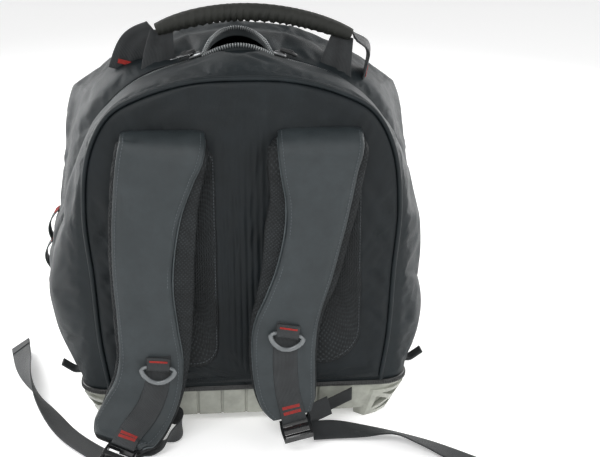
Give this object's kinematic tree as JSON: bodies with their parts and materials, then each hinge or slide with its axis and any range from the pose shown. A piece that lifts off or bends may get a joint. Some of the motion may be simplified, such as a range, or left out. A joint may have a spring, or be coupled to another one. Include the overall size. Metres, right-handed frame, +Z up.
{
  "type": "tool backpack",
  "caption": "Tool backpack on a moulded rubber base, with a padded back, two shoulder straps, a zipped top and a carrying handle.",
  "frame": {"origin": "middle of the flat sole of the moulded base, on the floor", "axes": "+X to the right as seen from the wearer's side, +Y from the wearer's side towards the bag's front, +Z up"},
  "size_m": [0.5261, 0.3726, 0.4321],
  "materials": {
    "base_rubber": "matte moulded rubber with grooves",
    "nylon": "dense woven nylon with a soft sheen",
    "piping": "woven tape over a cord",
    "back_panel_cloth": "padded nylon with a fine vertical rib",
    "strap_cloth": "dense woven nylon with a soft sheen",
    "air_mesh": "black spacer mesh with open cells",
    "webbing": "flat woven nylon webbing",
    "grip_cloth": "gathered woven cloth",
    "zip_teeth": "satin moulded teeth on woven tape",
    "zip_slider": "black painted die casting",
    "zip_cord": "black cord with a moulded sheath",
    "grey_plastic": "light grey moulded plastic",
    "black_plastic": "glossy black moulded plastic"
  },
  "bodies": {
    "bag": {"base_tray": "base_rubber", "base_rim": "base_rubber", "rear_shell": "nylon", "front_shell": "nylon", "panel_piping": "piping", "back_panel": "back_panel_cloth", "mesh_pad_left": "air_mesh", "mesh_pad_right": "air_mesh", "zip_chain_left": "zip_teeth", "zip_chain_right": "zip_teeth", "zip_rail_rear": "zip_teeth", "zip_rail_front": "zip_teeth", "zip_slider_left": "zip_slider", "zip_pull_left": "zip_cord", "zip_slider_right": "zip_slider", "zip_pull_right": "zip_cord", "shoulder_strap_left": "strap_cloth", "strap_mesh_left": "air_mesh", "strap_webbing_left": "webbing", "dring_keeper_left": "webbing", "ladder_lock_left": "black_plastic", "webbing_tail_left": "webbing", "anchor_wing_left": "nylon", "lower_webbing_left": "webbing", "side_tab_left": "webbing", "shoulder_strap_right": "strap_cloth", "strap_mesh_right": "air_mesh", "strap_webbing_right": "webbing", "dring_keeper_right": "webbing", "ladder_lock_right": "black_plastic", "webbing_tail_right": "webbing", "anchor_wing_right": "nylon", "lower_webbing_right": "webbing", "side_tab_right": "webbing", "handle_grip": "grip_cloth", "handle_leg_inner_left": "webbing", "handle_leg_outer_left": "webbing", "handle_leg_inner_right": "webbing", "handle_leg_outer_right": "webbing", "side_webbing_left": "webbing"},
    "dring_left": {"dring_left": "grey_plastic"},
    "dring_right": {"dring_right": "grey_plastic"}
  },
  "joints": [
    {"name": "dring_left_hinge", "type": "hinge", "parent": "bag", "child": "dring_left", "pos_m": [-0.08936, -0.16622, 0.09056], "axis": [-0.996, 0.0576, 0.0683], "range_deg": [0, 150]},
    {"name": "dring_right_hinge", "type": "hinge", "parent": "bag", "child": "dring_right", "pos_m": [0.04029, -0.16541, 0.12132], "axis": [-0.9817, -0.0282, 0.1885], "range_deg": [0, 150]}
  ]
}
